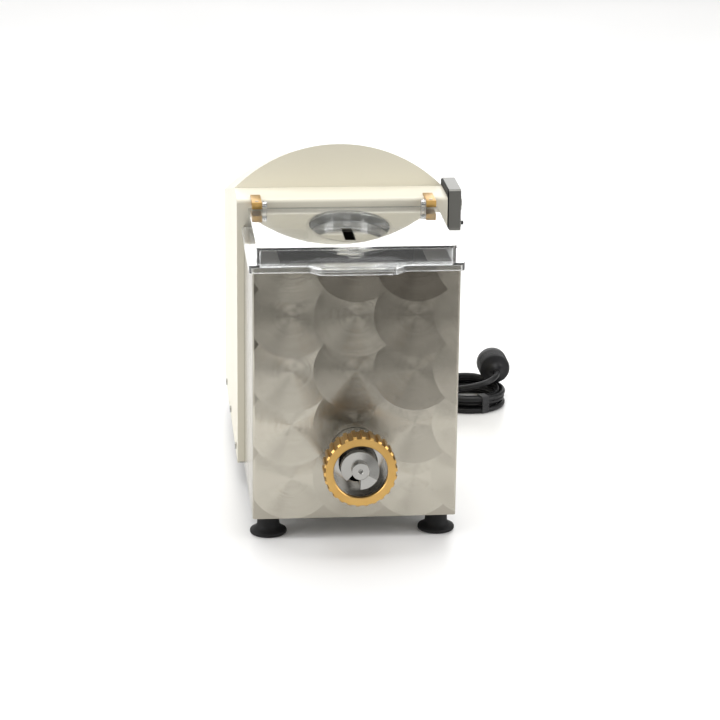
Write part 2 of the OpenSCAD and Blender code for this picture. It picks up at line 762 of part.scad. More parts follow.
module capacitor_clip() color(gear_steel) {
    tube(cap_x, cap_z, cap_r + clip_t, cap_r, clip_y0, clip_y1);
    span([cap_x - clip_w / 2, clip_y0, floor_z], [cap_x + clip_w / 2, clip_y1, floor_z + clip_t]);
    span([cap_x - 1, clip_y0, floor_z + 1], [cap_x + 1, clip_y1, cap_z - cap_r - clip_t / 3]);
}

// ---------------------------------------------------------------- housing

module housing_front() color(cream) difference() {
    union() {
        span([-housing_w / 2, wall_y, floor_z], [housing_w / 2, case_y, ledge_z - ledge_fold_r]);
        crossbar(wall_y + ledge_fold_r, ledge_z - ledge_fold_r, ledge_fold_r, -housing_w / 2, housing_w / 2);
        span([-housing_w / 2, wall_y + ledge_fold_r, ledge_z - housing_t], [housing_w / 2, arch_y, ledge_z]);
        intersection() {
            hood_form(0, arch_y, arch_y + housing_t);
            span([-housing_w / 2, arch_y - 1, ledge_z - housing_t], [housing_w / 2, arch_y + 5, apex_z + 1]);
        }
    }
    crossbar(wall_y + ledge_fold_r, ledge_z - ledge_fold_r, ledge_fold_r - housing_t, -housing_w, housing_w);
    span([-housing_w, case_y, floor_z - 1], [housing_w, wall_y + ledge_fold_r + 1, ledge_z - ledge_fold_r]);
    span([-housing_w, wall_y + ledge_fold_r, floor_z - 1], [housing_w, arch_y - 3, ledge_z - housing_t]);
    rod(0, barrel_z, bore_r, wall_y - 1, case_y + 1);
    barrel_bolt_places() rod(0, 0, 2.9, wall_y - 1, case_y + 1);
    rod(0, mixer_z, mixer_shaft_r + 5, wall_y - 1, case_y + 1);
    hinge_screw_places() translate([0, 0, -6]) cylinder(r = hinge_screw_r, h = 12);
}

// Space under the hood, in front of y1, smaller than the outside by inset
module hood_form(inset, y0, y1) {
    reach = housing_l + ledge_d;
    intersection() {
        span([-housing_w / 2 + inset, y0, base_z - (inset > 0 ? 1 : 0)],
            [housing_w / 2 - inset, y1, apex_z + 1]);
        translate([0, arch_y, hood_z]) rotate([-hood_slope, 0, 0]) {
            rod(0, 0, hood_r - inset, -reach, reach);
            span([-hood_r + inset, -reach, -2 * apex_z], [hood_r - inset, reach, 0]);
        }
    }
}

module housing_cover() color(cream) difference() {
    union() {
        hood_form(0, arch_y + housing_t + slip, rear_y);
        span([-housing_w / 2, case_y + slip, base_z],
            [housing_w / 2, arch_y + housing_t + slip + join, ledge_z - housing_t - slip]);
    }
    difference() {
        hood_form(housing_t, arch_y + housing_t + slip - 1, rear_y + 1);
        for (side = [-1, 1]) {
            edge = side * housing_w / 2;
            lip = edge - side * panel_lip_w;
            span([min(edge, lip), rear_y - housing_t - slip - 1.5, floor_z + 10],
                [max(edge, lip), rear_y - housing_t - slip, floor_z + 10 + panel_lip_h]);
        }
    }
    span([-housing_w / 2 + housing_t, case_y - 1, base_z - 1],
        [housing_w / 2 - housing_t, arch_y + housing_t + slip + 1, ledge_z]);
    span([-housing_w, case_y, ledge_z - ledge_fold_r - slip],
        [housing_w, wall_y + ledge_fold_r + slip, ledge_z]);
    contact_forms(slip, housing_w / 2 - housing_t - 1, housing_w / 2 + 1);
    cover_screw_places() rotate([0, 90, 0]) translate([0, 0, -6]) cylinder(r = 2, h = 12);
    panel_screw_places() rod(0, 0, 2, rear_y - 10, rear_y);
}

module rear_panel() color(cream) difference() {
    intersection() {
        hood_form(housing_t + slip, rear_y - housing_t, rear_y);
        span([-housing_w, rear_y - 10, floor_z], [housing_w, rear_y + 10, apex_z]);
    }
    for (i = [0:vent_count - 1]) span([motor_x - 50, rear_y - 10, motor_z - 30 + i * 12],
        [motor_x + 50, rear_y + 10, motor_z - 25 + i * 12]);
    rod(gland_x, gland_z, gland_r + run, rear_y - 10, rear_y + 10);
    panel_screw_places() rod(0, 0, 2, rear_y - 10, rear_y + 10);
}

module cover_screw_places() {
    for (side = [-1, 1], y = [case_y + 25, (case_y + rear_y) / 2, rear_y - 50])
        translate([side * housing_w / 2, y, floor_z + 10]) rotate([0, 0, side > 0 ? 0 : 180]) children();
}

module panel_screw_places() {
    inset = panel_lip_w - 8;
    for (x = [-housing_w / 2 + inset, housing_w / 2 - inset], z = [floor_z + 22, floor_z + panel_lip_h])
        translate([x, 0, z]) children();
}

module casing_screws() color("silver") {
    cover_screw_places() rotate([0, 90, 0]) {
        translate([0, 0, -7]) cylinder(r = 2, h = 7 + join);
        cylinder(r = 4, h = screw_head_t);
    }
    panel_screw_places() {
        rod(0, 0, 2, rear_y - 8, rear_y + join);
        rod(0, 0, 4, rear_y, rear_y + screw_head_t);
    }
}

// ---------------------------------------------------------------- lid and hinges

// A block's corners stay within this distance of the axis, so that the open lid clears them
hinge_swing_r = hinge_above_lid - 0.2;
hinge_min_wall = 1.5;
block_top = max(ledge_z + 2, hinge_z + hinge_pin_r + hinge_min_wall);
block_bottom = hinge_z - hinge_block_drop;
block_front = hinge_y - sqrt(max(pow(hinge_pin_r + hinge_min_wall, 2),
    pow(hinge_swing_r, 2) - pow(block_top - hinge_z, 2)));
hinge_screw_y = wall_y + hinge_foot_l / 2 + 2;
hinge_screw_r = 1.5;
hinge_screw_l = 1.5;
set_screw_r = 1.8;
set_screw_l = block_top + 0.6 - hinge_z - hinge_pin_r;

// The screws come up from inside the housing into the blocks' feet
module hinge_screw_places() {
    for (x = [-hinge_x, hinge_x]) translate([x, hinge_screw_y, ledge_z]) children();
}

module set_screw_places() {
    for (x = [-hinge_x, hinge_x]) translate([x, hinge_y, hinge_z + hinge_pin_r]) children();
}

module hinge_blocks() color(brass) difference() {
    for (x = [-hinge_x, hinge_x]) {
        span([x - hinge_block_w / 2, block_front, block_bottom],
            [x + hinge_block_w / 2, wall_y - slip, block_top]);
        span([x - hinge_block_w / 2, wall_y - slip - 1, ledge_z],
            [x + hinge_block_w / 2, wall_y + hinge_foot_l, block_top]);
    }
    for (x = [-hinge_x, hinge_x])
        crossbar(hinge_y, hinge_z, hinge_pin_r, x - hinge_block_w, x + hinge_block_w);
    hinge_screw_places() translate([0, 0, -1]) cylinder(r = hinge_screw_r, h = 1 + hinge_screw_l);
    set_screw_places() translate([0, 0, -0.5]) cylinder(r = set_screw_r, h = set_screw_l + 1);
}

module hinge_screws() color("silver") hinge_screw_places() {
    translate([0, 0, -housing_t - 2]) cylinder(r = 3, h = 2);
    translate([0, 0, -housing_t - join]) cylinder(r = hinge_screw_r, h = housing_t + hinge_screw_l);
}

// Slotted screws in the blocks' tops that lock the pins
module hinge_set_screws() color("silver") difference() {
    set_screw_places() cylinder(r = set_screw_r, h = set_screw_l);
    set_screw_places() span([-0.35, -set_screw_r - 1, set_screw_l - 0.7],
        [0.35, set_screw_r + 1, set_screw_l + 1]);
}

ear_gap = 0.5;
ear_w = 5;

module hinge_pins() color("silver") for (side = [-1, 1]) {
    inner = hinge_x - hinge_block_w / 2 - ear_gap - ear_w;
    outer = hinge_x + hinge_block_w / 2;
    crossbar(hinge_y, hinge_z, hinge_pin_r, side > 0 ? inner : -outer, side > 0 ? outer : -inner);
}

tray_x = hopper_w / 2 - tray_side_setback;
tray_rear = wall_y - 2;
skirt_x = hopper_w / 2 + 0.5 + lid_t;
skirt_front = -0.5 - lid_t;
dish_y = tray_rear - dish_back;
slot_y1 = dish_y + dish_l * 0.33;
dish_sides = 72;

// The dish's hollow, or with grow its outside
module lid_dish(grow) translate([0, dish_y, tray_top - dish_depth - grow])
    linear_extrude(height = dish_depth + grow + join)
        polygon([for (i = [0:dish_sides - 1]) let (a = i * 360 / dish_sides)
            [(dish_w / 2 + grow) * cos(a), (dish_l / 2 + grow) * sin(a)]]);

// Small lug with a round underside on the tray's front wall, beside its middle
module lid_lug() {
    r = 4;
    lug_x = -2;
    lug_top = tray_top - lid_t - 0.5;
    front = tray_setback - 1.5;
    rear = tray_setback + 1;
    span([lug_x - lug_w / 2, front, lug_top - r], [lug_x + lug_w / 2, rear, lug_top]);
    span([lug_x - lug_w / 2 + r, front, lug_top - 2 * r], [lug_x + lug_w / 2 - r, rear, lug_top - r]);
    for (side = [-1, 1]) rod(lug_x + side * (lug_w / 2 - r), lug_top - r, r, front, rear);
}

module grip_form(inset, z0, z1) {
    outer = skirt_front - grip_out + inset;
    half = grip_w / 2 - inset;
    translate([0, 0, z0]) linear_extrude(height = z1 - z0)
        polygon([[-half, outer], [half, outer], [half + grip_out, skirt_front + 1],
            [-half - grip_out, skirt_front + 1]]);
}

module lid() color("white", 0.4) {
    rim_top = lid_z + lid_t;
    skirt_bottom = lid_z - skirt_drop;
    difference() {
        union() {
            upright_block([-tray_x, tray_setback, lid_z], [tray_x, tray_rear, tray_top], lid_t);
            upright_block([-skirt_x, skirt_front, skirt_bottom], [skirt_x, hinge_y - 3, rim_top], lid_t + 1);
            grip_form(0, skirt_bottom, rim_top);
            lid_lug();
            for (side = [-1, 1]) lid_ear(side);
        }
        difference() {
            union() {
                upright_block([-tray_x + lid_t, tray_setback + lid_t, lid_z - 1],
                    [tray_x - lid_t, tray_rear - lid_t, tray_top - lid_t], 1);
                span([-hopper_w / 2 - 0.5, -0.5, skirt_bottom - 1], [hopper_w / 2 + 0.5, hinge_y + 5, lid_z]);
            }
            lid_dish(lid_t);
        }
        grip_form(lid_t, skirt_bottom - 1, lid_z);
        lid_dish(0);
        span([-slot_w / 2, slot_y1 - slot_l, tray_top - dish_depth - lid_t - 1],
            [slot_w / 2, slot_y1, tray_top - dish_depth + 1]);
        crossbar(hinge_y, hinge_z, hinge_pin_r + run, -hinge_x, hinge_x);
    }
}

module lid_ear(side) {
    inner = hinge_x - hinge_block_w / 2 - ear_gap - ear_w;
    x0 = side > 0 ? inner : -inner - ear_w;
    crossbar(hinge_y, hinge_z, ear_r, x0, x0 + ear_w);
    span([x0, hinge_y - ear_r, tray_top - 1], [x0 + ear_w, hinge_y + ear_r, hinge_z]);
}

switch_w = 24;
switch_x = housing_w / 2 - 44.5;

module lid_switch() color(black) {
    span([switch_x - switch_w / 2, case_y, rim_z - 2], [switch_x + switch_w / 2, case_y + 16, rim_z + 16]);
}

// ---------------------------------------------------------------- controls

module control_box() color("#6f6f6b") difference() {
    long_block([box_x, box_y, box_z], [box_face, box_y + control_l, box_z + control_h], 4);
    long_block([box_x - 1, box_y + 2, box_z + 2],
        [box_face - 2, box_y + control_l - 2, box_z + control_h - 2], 2);
    for (y = button_y) crossbar(y, button_z, button_r + slip, box_x, box_face + 1);
    crossbar(reset_y, reset_z, reset_r + slip, box_x, box_face + 1);
}

module control_gasket() color(black) difference() {
    long_block([housing_w / 2, box_y + 1, box_z + 1],
        [box_x, box_y + control_l - 1, box_z + control_h - 1], 3);
    contact_forms(slip, 0, housing_w);
}

module bezel(y, z, r) {
    difference() {
        crossbar(y, z, r + bezel_w, box_face, box_face + bezel_out);
        crossbar(y, z, r + slip, box_face - 1, box_face + bezel_out + 1);
    }
}

module button_bezels() color("silver") {
    for (y = button_y) bezel(y, button_z, button_r);
    bezel(reset_y, reset_z, reset_r);
}

// The four switch bodies that reach through the housing's side, larger by grow
module contact_forms(grow, x0, x1) {
    for (p = contact_places) {
        half = p[2] / 2 + grow;
        span([x0, p[0] - half, p[1] - half], [x1, p[0] + half, p[1] + half]);
    }
}

module contact_blocks() color("dimgray") contact_forms(0, contact_x0, contact_x1);

module cap(i, tone) color(tone)
    crossbar(button_y[i], button_z, button_r, contact_x1 + button_travel + 0.5, box_face + bezel_out - 0.8);

module mix_button() cap(0, "white");
module extrude_button() cap(1, "green");
module stop_button() cap(2, "red");
module reset_button() color(black)
    crossbar(reset_y, reset_z, reset_r, contact_x1 + reset_travel + 0.5, box_face + bezel_out + reset_out);

// ---------------------------------------------------------------- lead

module cable_gland() color(black) {
    rod(gland_x, gland_z, gland_r, rear_y - housing_t - 6, rear_y + 1);
    rod(gland_x, gland_z, gland_r + 3, rear_y, rear_y + 6);
    translate([gland_x, rear_y + 6 - join, gland_z]) rotate([-90, 0, 0])
        cylinder(r1 = gland_r, r2 = lead_d / 2 + 1.2, h = gland_l - 6);
}

// Catmull-Rom curve through the points of a route
function spline(p, i, t) =
    let (n = len(p) - 1, a = p[max(i - 1, 0)], b = p[i], c = p[min(i + 1, n)], d = p[min(i + 2, n)])
    0.5 * (2 * b + (c - a) * t + (2 * a - 5 * b + 4 * c - d) * t * t + (3 * b - a - 3 * c + d) * t * t * t);
function smooth(p, steps) = concat(
    [for (i = [0:len(p) - 2], k = [0:steps - 1]) spline(p, i, k / steps)], [p[len(p) - 1]]);

module sweep(p, r, sides) {
    n = len(p) - 1;
    rings = [for (i = [0:n])
        let (ahead = p[min(i + 1, n)] - p[max(i - 1, 0)], t = ahead / norm(ahead),
            side = cross(t, [0, 0, 1]) / norm(cross(t, [0, 0, 1])), up = cross(side, t))
        for (k = [0:sides - 1]) p[i] + r * (cos(k * 360 / sides) * side + sin(k * 360 / sides) * up)];
    polyhedron(rings, concat(
        [[for (k = [0:sides - 1]) k]],
        [for (i = [0:n - 1], k = [0:sides - 1]) let (j = (k + 1) % sides)
            [i * sides + k, (i + 1) * sides + k, (i + 1) * sides + j, i * sides + j]],
        [[for (k = [sides - 1:-1:0]) n * sides + k]]));
}

module mains_cord() color(black) sweep(smooth(lead_route, lead_steps), lead_d / 2, lead_sides);

module cord_coil() color(black) translate([coil_x, coil_y, 0])
    rotate_extrude() polygon([[coil_inner, 0], [coil_outer, 0], [coil_outer, coil_h], [coil_inner, coil_h]]);

module cord_tail() color(black) sweep(smooth(tail_route, lead_steps), lead_d / 2, lead_sides);

module plug_body() color(black) {
    rod(plug_x, plug_z, plug_r, plug_y + plug_nose_l, plug_y + plug_nose_l + plug_l);
    translate([plug_x, plug_y, plug_z]) rotate([-90, 0, 0])
        cylinder(r1 = lead_d / 2 + 1.2, r2 = 11, h = plug_nose_l + join);
}

module plug_pins() color("silver") for (side = [-1, 1])
    rod(plug_x + side * pin_pitch / 2, plug_z, pin_r, plug_y + plug_nose_l + plug_l,
        plug_y + plug_nose_l + plug_l + pin_l);

placed() base_plate();
placed() feet();
placed() hopper_casing();
placed() mixing_tub();
placed() extruder_barrel();
placed() barrel_bolts();
placed() housing_front();
placed() housing_cover();
placed() rear_panel();
placed() casing_screws();
placed() hinge_blocks();
placed() hinge_screws();
placed() hinge_set_screws();
placed() hinge_pins();
placed() lid();
placed() ring_nut();
placed() die_washer();
placed() auger();
placed() auger_shaft();
placed() auger_gear();
placed() mixer_shaft();
placed() mixer_paddles();
placed() mixer_gear();
placed() mixer_bush();
placed() shaft_seals();
placed() reduction_shaft();
placed() reduction_pinion();
placed() reduction_gear();
placed() gearbox_case();
placed() gearbox_cover();
placed() gearbox_bolts();
placed() gearbox_bearings();
placed() thrust_bearing();
placed() motor_pinion();
placed() motor_shaft();
placed() motor_fan();
placed() motor_body();
placed() motor_end_bell();
placed() fan_cowl();
placed() motor_bracket();
placed() run_capacitor();
placed() capacitor_clip();
placed() lid_switch();
placed() control_box();
placed() control_gasket();
placed() button_bezels();
placed() contact_blocks();
placed() mix_button();
placed() extrude_button();
placed() stop_button();
placed() reset_button();
placed() cable_gland();
placed() mains_cord();
placed() cord_coil();
placed() cord_tail();
placed() plug_body();
placed() plug_pins();
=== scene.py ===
# Electric pasta maker for the worktop, dressed piece by piece: its mains lead first, and then the machine
# in the order in which it is put together.
import math

import bmesh
import bpy
from mathutils import Matrix, Vector


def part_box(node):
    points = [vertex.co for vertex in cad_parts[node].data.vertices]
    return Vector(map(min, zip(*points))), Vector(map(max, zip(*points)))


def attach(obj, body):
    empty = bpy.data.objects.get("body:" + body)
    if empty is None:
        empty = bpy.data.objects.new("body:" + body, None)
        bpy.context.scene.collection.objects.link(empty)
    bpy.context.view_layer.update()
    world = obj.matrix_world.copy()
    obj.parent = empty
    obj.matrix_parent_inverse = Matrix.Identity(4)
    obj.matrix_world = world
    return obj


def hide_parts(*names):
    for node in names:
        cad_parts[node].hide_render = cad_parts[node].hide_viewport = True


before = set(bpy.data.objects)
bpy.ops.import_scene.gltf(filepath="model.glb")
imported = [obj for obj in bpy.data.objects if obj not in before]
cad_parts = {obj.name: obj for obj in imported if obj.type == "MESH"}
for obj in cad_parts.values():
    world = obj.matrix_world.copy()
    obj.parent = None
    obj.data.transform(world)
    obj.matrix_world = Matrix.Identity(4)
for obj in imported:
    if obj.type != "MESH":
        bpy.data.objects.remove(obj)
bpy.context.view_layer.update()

# ---- Camera -------------------------------------------------------------------------------------------
# A long lens two and a half metres in front of the machine, a little to its left and above it, looking
# down at the ring nut and the lid.
camera_place = Vector((-0.25155, -2.7077, 0.9992))
camera_down = math.radians(17.669)
camera_right = math.radians(5.645)
camera_roll = math.radians(0.677)
focal_length = 125.43
sensor_w = 36
lens = bpy.data.cameras.new("camera")
lens.lens = focal_length
lens.sensor_width = sensor_w
lens.dof.use_dof = False
camera = bpy.data.objects.new("camera", lens)
camera.matrix_world = (
    Matrix.Translation(camera_place)
    @ Matrix.Rotation(-camera_right, 4, "Z")
    @ Matrix.Rotation(math.pi / 2 - camera_down, 4, "X")
    @ Matrix.Rotation(camera_roll, 4, "Z")
)
bpy.context.scene.collection.objects.link(camera)
bpy.context.scene.camera = camera

# ---- Mains lead ---------------------------------------------------------------------------------------
# A round three-core lead in a black sheath. It comes out of the gland in the rear panel, drops to the
# worktop and is wound beside the housing into a coil that a strap holds, with the plug lying on it.
MM = 0.001
casing_low, casing_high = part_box("hopper_casing")
# Bench millimetres are x from the casing's middle, y from its front sheet and z from the worktop.
bench = Matrix.Translation(((casing_low.x + casing_high.x) / 2, casing_low.y, 0)) @ Matrix.Scale(MM, 4)


def place(x, y, z):
    """A point given in bench millimetres, in the model's metres."""
    return bench @ Vector((x, y, z))


lead_d = 7.0
drop_route = [
    (80, 521, 58), (80, 533, 57), (80, 552, 52.5), (84, 567.5, 46.5), (95.5, 579, 39),
    (111, 583, 31), (126.5, 579, 22.5), (138, 567.5, 15), (142, 552, 9), (142, 536, 5),
    (142, 520, 3.5), (142, 506, 3.5), (142, 492, 3.5), (142, 476, 3.5), (142, 460, 3.5),
]
tail_route = [
    (172, 476, 24.5), (157, 465.5, 24.5), (149.5, 449, 24.5), (151, 431, 25), (161.5, 416, 27.5),
    (178, 408.5, 31.5), (190.5, 408.5, 34.2), (202.5, 412.2, 36.5), (213.8, 423.5, 39.1),
    (217.5, 433.5, 39.9), (218, 439, 40),
]
coil_x = 184
coil_y = 443
wide_turn = 42.0
tight_turn = 35.0
layer = [lead_d * (number + 0.5) for number in range(4)]
# How far the coil has turned in degrees, with its radius and height there.
coil_stages = [
    (180, wide_turn, layer[0]), (390, wide_turn, layer[0]), (540, tight_turn, layer[0]),
    (630, tight_turn, layer[0]), (750, tight_turn, layer[1]), (960, tight_turn, layer[1]),
    (1110, wide_turn, layer[1]), (1200, wide_turn, layer[1]), (1320, wide_turn, layer[2]),
    (1530, wide_turn, layer[2]), (1680, tight_turn, layer[2]), (1770, tight_turn, layer[2]),
    (1890, tight_turn, layer[3]),
]
coil_step = 15


def ease(start, end, share):
    """Between two values, leaving and reaching them gently."""
    return start + (end - start) * share * share * (3 - 2 * share)


coil_route = []
for (turn0, radius0, height0), (turn1, radius1, height1) in zip(coil_stages, coil_stages[1:]):
    for turn in range(turn0, turn1, coil_step):
        share = (turn - turn0) / (turn1 - turn0)
        radius = ease(radius0, radius1, share)
        angle = math.radians(turn)
        coil_route.append((
            coil_x + radius * math.cos(angle),
            coil_y + radius * math.sin(angle),
            ease(height0, height1, share),
        ))


def paint(code):
    """A colour for a shader from its #rrggbb code."""
    parts = [int(code[i : i + 2], 16) / 255 for i in (1, 3, 5)]
    return (*(p / 12.92 if p <= 0.04045 else ((p + 0.055) / 1.055) ** 2.4 for p in parts), 1)


class Wire:
    """A socket in a material's nodes. Sums on wires add Math nodes, and node() adds any other."""

    def __init__(self, tree, socket):
        self.tree = tree
        self.socket = socket

    def node(self, kind, inputs, out=0, **settings):
        """A new node with its settings and its inputs' values or wires, as the wire of one output."""
        made = self.tree.nodes.new("ShaderNode" + kind)
        for setting, value in settings.items():
            setattr(made, setting, value)
        for key, value in inputs.items():
            if isinstance(value, Wire):
                self.tree.links.new(value.socket, made.inputs[key])
            else:
                made.inputs[key].default_value = value
        return Wire(self.tree, made.outputs[out])

    def maths(self, operation, *others):
        """The wire and other values through one Math node."""
        return self.node("Math", dict(enumerate((self, *others))), operation=operation)

    def axis(self, number):
        """The x, y or z of a vector, as number 0, 1 or 2."""
        return self.node("SeparateXYZ", {0: self}, out=number)

    def blend(self, dark, light):
        """A colour that goes from dark to light as the wire goes from 0 to 1."""
        inputs = {0: self, 6: paint(dark), 7: paint(light)}
        return self.node("Mix", inputs, out=2, data_type="RGBA")

    def __add__(self, other):
        return self.maths("ADD", other)

    def __sub__(self, other):
        return self.maths("SUBTRACT", other)

    def __rsub__(self, other):
        return self.node("Math", {0: other, 1: self}, operation="SUBTRACT")

    def __mul__(self, other):
        return self.maths("MULTIPLY", other)

    def __truediv__(self, other):
        return self.maths("DIVIDE", other)

    def __pow__(self, other):
        return self.maths("POWER", other)

    __radd__ = __add__
    __rmul__ = __mul__


def finish(name, **values):
    """A new material with its uniform values set, its shader, and the wire of object coordinates."""
    material = bpy.data.materials.new(name)
    material.use_nodes = True
    tree = material.node_tree
    shader = tree.nodes["Principled BSDF"]
    for key, value in values.items():
        shader.inputs[key.replace("_", " ")].default_value = value
    coordinates = tree.nodes.new("ShaderNodeTexCoord")
    return material, shader, Wire(tree, coordinates.outputs["Object"])


def feed(shader, **wires):
    """Lets wires drive a shader's sockets."""
    for key, wire in wires.items():
        wire.tree.links.new(wire.socket, shader.inputs[key.replace("_", " ")])


def grain(where, scale, detail=3.0, rough=0.5):
    """Noise between 0 and 1. scale is features per metre, or a Vector of three where it is drawn out."""
    if isinstance(scale, Vector):
        where = where.node("Mapping", {"Location": (0.37, 0.21, 0.53), "Scale": scale})
        scale = 1.0
    inputs = {"Vector": where, "Scale": scale, "Detail": detail, "Roughness": rough}
    return where.node("TexNoise", inputs)


def relief(height, depth, edge=0.0):
    """The normal of a surface with that height map, depth in metres, and its corners rounded by edge."""
    inputs = {"Strength": 1.0, "Distance": depth, "Height": height}
    if edge:
        inputs["Normal"] = height.node("Bevel", {"Radius": edge}, samples=4)
    return height.node("Bump", inputs)


def add_object(name, data, material, body, slot, *nodes):
    """An object of the machine with its finish, riding on a body, in place of the CAD nodes it is for."""
    made = bpy.data.objects.new(name, data)
    bpy.context.scene.collection.objects.link(made)
    data.materials.append(material)
    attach(made, body)
    if nodes:
        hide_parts(*nodes)
    return made


sheath, sheath_shader, spot = finish(
    "lead_sheath", Coat_Weight=0.1, Coat_Roughness=0.35, Specular_IOR_Level=0.3
)
dust = grain(spot, 900)
feed(
    sheath_shader, Base_Color=dust.blend("#060607", "#151517"), Roughness=0.36 + 0.2 * dust,
    Normal=relief(grain(spot, 2600, 2), 0.00006),
)

lead_curve = bpy.data.curves.new("mains_lead", "CURVE")
lead_curve.dimensions = "3D"
lead_curve.bevel_depth = lead_d / 2 * MM
lead_curve.bevel_resolution = 4
lead_curve.resolution_u = 5
lead_curve.use_fill_caps = True
run_of_lead = lead_curve.splines.new("BEZIER")
lead_points = [place(*point) for point in drop_route + coil_route + tail_route]
run_of_lead.bezier_points.add(len(lead_points) - 1)
for knot, point in zip(run_of_lead.bezier_points, lead_points):
    knot.co = point
    knot.handle_left_type = knot.handle_right_type = "AUTO"
lead = add_object(
    "mains_lead", lead_curve, sheath, "machine", "cord_sheath", "mains_cord", "cord_coil", "cord_tail"
)

# ---- Lead strap ---------------------------------------------------------------------------------------
# A flat strap of black woven nylon, pulled tight round the coil's three lower layers on the plug's side,
# below the tail, so that the turns stay together.
strap_turn = math.radians(290)
strap_w = 9.0
strap_t = 0.8
strap_gap = 0.05
strap_corner = 2.6


def round_edges(shape, edges, width, segments):
    """Rounds edges off by width millimetres."""
    bmesh.ops.bevel(
        shape, geom=edges, offset=width, offset_type="OFFSET", segments=segments, profile=0.5,
        affect="EDGES", clamp_overlap=True, material=-1,
    )


def add_piece(name, shape, material, body, slot, *nodes, smooth=35):
    """Turns a bmesh in bench millimetres into a piece, shaded smooth up to an angle in degrees."""
    mesh = bpy.data.meshes.new(name)
    shape.to_mesh(mesh)
    shape.free()
    mesh.shade_smooth()
    mesh.set_sharp_from_angle(angle=math.radians(smooth))
    mesh.transform(bench)
    return add_object(name, mesh, material, body, slot, *nodes)


strap_shape = bmesh.new()
strap_low = Vector((tight_turn - lead_d / 2 - strap_t, -strap_w / 2, strap_gap))
strap_high = Vector((wide_turn + lead_d / 2 + strap_t, strap_w / 2, 3 * lead_d + strap_t))
strap_stretch = Matrix.Diagonal((*(strap_high - strap_low), 1))
bmesh.ops.create_cube(
    strap_shape, size=1, matrix=Matrix.Translation((strap_low + strap_high) / 2) @ strap_stretch
)
corners = [e for e in strap_shape.edges if abs(e.verts[0].co.y - e.verts[1].co.y) > strap_w / 2]
round_edges(strap_shape, corners, strap_corner, 5)
ends = [f for f in strap_shape.faces if abs(f.normal.y) > 0.9]
bmesh.ops.delete(strap_shape, geom=ends, context="FACES_ONLY")
bmesh.ops.solidify(strap_shape, geom=strap_shape.faces[:], thickness=strap_t)
bmesh.ops.recalc_face_normals(strap_shape, faces=strap_shape.faces)
bmesh.ops.transform(
    strap_shape, verts=strap_shape.verts,
    matrix=Matrix.Translation((coil_x, coil_y, 0)) @ Matrix.Rotation(strap_turn, 4, "Z"),
)
webbing, webbing_shader, spot = finish("strap_nylon", Roughness=0.7, Sheen_Weight=0.2)
weave = spot.node(
    "TexWave", {"Vector": spot, "Scale": 900.0}, out=1, wave_type="BANDS", bands_direction="Z"
)
feed(webbing_shader, Base_Color=weave.blend("#141416", "#2b2b2f"), Normal=relief(weave, 0.0001))
strap = add_piece("lead_strap", strap_shape, webbing, "machine", "black_plastic")

# ---- Plug ---------------------------------------------------------------------------------------------
# A moulded two-pin mains plug: a ribbed round body with a tapered neck that the lead runs into, and
# nickel-plated pins with domed ends.


def extent(node):
    """The lowest and highest corner of a CAD piece, in bench millimetres."""
    low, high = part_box(node)
    return bench.inverted() @ low, bench.inverted() @ high


def lathe(profile, centre, axis=Vector((0, 0, 1)), steps=64):
    """A turned form. profile is a list of (radius, distance along the axis from centre)."""
    shape = bmesh.new()
    centre = Vector(centre)
    side = axis.orthogonal().normalized()
    points = [shape.verts.new(centre + side * radius + axis * along) for radius, along in profile]
    edges = [shape.edges.new(pair) for pair in zip(points, points[1:])]
    bmesh.ops.spin(
        shape, geom=points + edges, cent=centre, axis=axis, angle=2 * math.pi, steps=steps,
        use_merge=True,
    )
    bmesh.ops.remove_doubles(shape, verts=shape.verts, dist=0.001)
    bmesh.ops.recalc_face_normals(shape, faces=shape.faces)
    return shape


def merge(shapes):
    """Several bmeshes as one."""
    whole = shapes[0]
    for shape in shapes[1:]:
        mesh = bpy.data.meshes.new("joined")
        shape.to_mesh(mesh)
        shape.free()
        whole.from_mesh(mesh)
        bpy.data.meshes.remove(mesh)
    return whole


black_moulding, moulding_shader, spot = finish("black_moulding", Specular_IOR_Level=0.35)
mould = grain(spot, 700)
feed(
    moulding_shader, Base_Color=mould.blend("#08080a", "#18181b"), Roughness=0.38 + 0.2 * mould,
    Normal=relief(grain(spot, 3200, 2), 0.00008, 0.0004),
)

body_low, body_high = extent("plug_body")
plug_axis_x = (body_low.x + body_high.x) / 2
plug_axis_z = (body_low.z + body_high.z) / 2
plug_r = (body_high.x - body_low.x) / 2
plug_l = body_high.y - body_low.y
grip_t = 1.2
neck_l = 12.0
neck_r = lead_d / 2 + grip_t
neck_wide_r = 11
rib_count = 5
rib_pitch = 3.6
rib_depth = 0.9
plug_profile = [(0, 0.2), (lead_d / 2 - 0.4, 0), (neck_r, 0.4)]
plug_profile += [(neck_r + 0.5, 3), (neck_r + 1.4, 6), (neck_r + 3.2, 9), (neck_wide_r, neck_l)]
plug_profile += [(plug_r - 4, neck_l + 0.3), (plug_r - 1.4, neck_l + 1.6), (plug_r, neck_l + 5)]
for rib in range(rib_count):
    start = neck_l + 7 + rib * rib_pitch
    plug_profile += [
        (plug_r, start), (plug_r - rib_depth, start + 0.6),
        (plug_r - rib_depth, start + 1.5), (plug_r, start + 2.1),
    ]
plug_profile += [(plug_r, plug_l - 6), (plug_r - 2.5, plug_l - 5), (plug_r - 3.2, plug_l - 0.8)]
plug_profile += [(plug_r - 4, plug_l), (0, plug_l)]
back = Vector((0, 1, 0))
plug_shape = lathe(plug_profile, (plug_axis_x, body_low.y, plug_axis_z), back, steps=72)
plug = add_piece("plug", plug_shape, black_moulding, "machine", "black_plastic", "plug_body", smooth=40)

